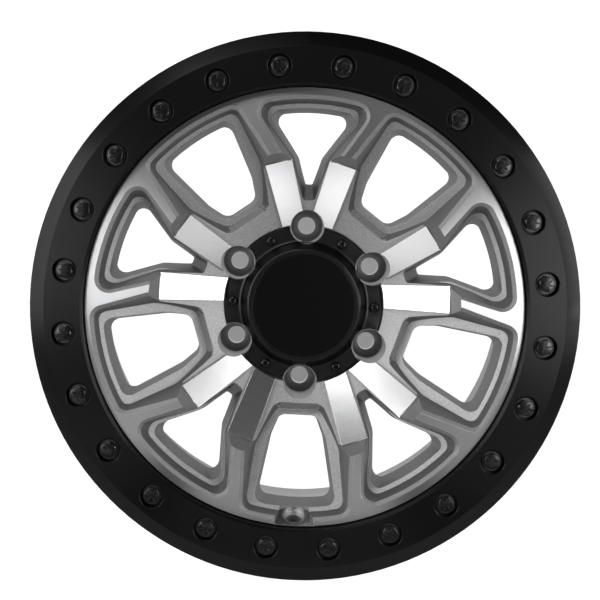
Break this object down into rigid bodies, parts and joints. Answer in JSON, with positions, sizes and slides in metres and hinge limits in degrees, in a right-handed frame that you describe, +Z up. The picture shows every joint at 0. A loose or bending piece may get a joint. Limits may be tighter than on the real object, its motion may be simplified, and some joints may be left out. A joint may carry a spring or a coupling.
{
  "type": "beadlock wheel",
  "caption": "Cast alloy off-road wheel with paired spokes, milled pads, a bolted clamp ring over the outer tyre bead, and a screwed-on centre cap.",
  "frame": {"origin": "centre of the hub mounting face, on the axle", "axes": "axle along Y, with +Y inboard towards the vehicle and the styled face towards -Y; +Z up, with the valve hole at the bottom; +X to the right seen from the front"},
  "size_m": [0.472, 0.254, 0.472],
  "materials": {
    "body": "grey metallic paint, with turned and milled faces left bright under clear lacquer",
    "ring": "satin black coating",
    "bolts": "black oxide",
    "washers": "black oxide",
    "cap": "satin black",
    "plate": "satin black, left bare",
    "screws": "black oxide"
  },
  "bodies": {
    "root": {"wheel_body": "body", "beadlock_ring": "ring", "ring_bolts": "bolts", "ring_washers": "washers", "centre_cap": "cap", "cap_plate": "plate", "cap_screws": "screws"}
  },
  "joints": []
}
